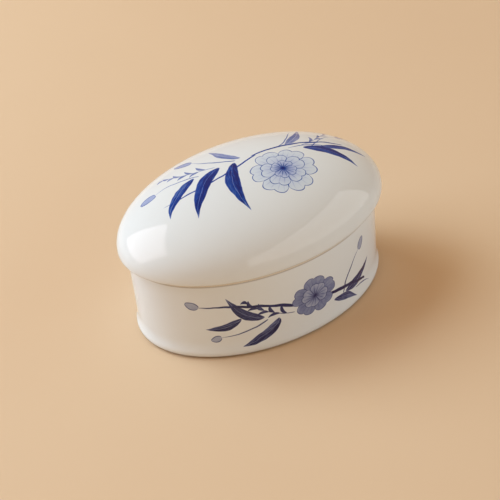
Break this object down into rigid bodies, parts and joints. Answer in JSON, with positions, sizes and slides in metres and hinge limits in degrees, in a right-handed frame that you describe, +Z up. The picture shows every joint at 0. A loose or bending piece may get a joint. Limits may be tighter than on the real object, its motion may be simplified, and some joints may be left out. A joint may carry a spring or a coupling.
{
  "type": "seal paste box",
  "caption": "Oval glazed porcelain box with a footed bowl, a domed lid that lifts off its inner collar, and a mound of red seal paste inside.",
  "frame": {"origin": "centre of the foot ring's contact plane, on the surface that the box stands on", "axes": "+X along the box's length, +Y across its width, +Z up, the way the lid lifts"},
  "size_m": [0.095, 0.066, 0.052],
  "materials": {
    "base_porcelain": "clear gloss glaze over blue brush painting, bare foot ring and rim",
    "lid_porcelain": "clear gloss glaze over blue brush painting, bare rim",
    "red_paste": "oily satin"
  },
  "bodies": {
    "base": {"box_base": "base_porcelain", "seal_paste": "red_paste"},
    "lid": {"domed_lid": "lid_porcelain"}
  },
  "joints": [
    {"name": "lid_lift", "type": "slide", "parent": "base", "child": "lid", "axis": [0, 0, 1], "range_m": [0, 0.06]}
  ]
}
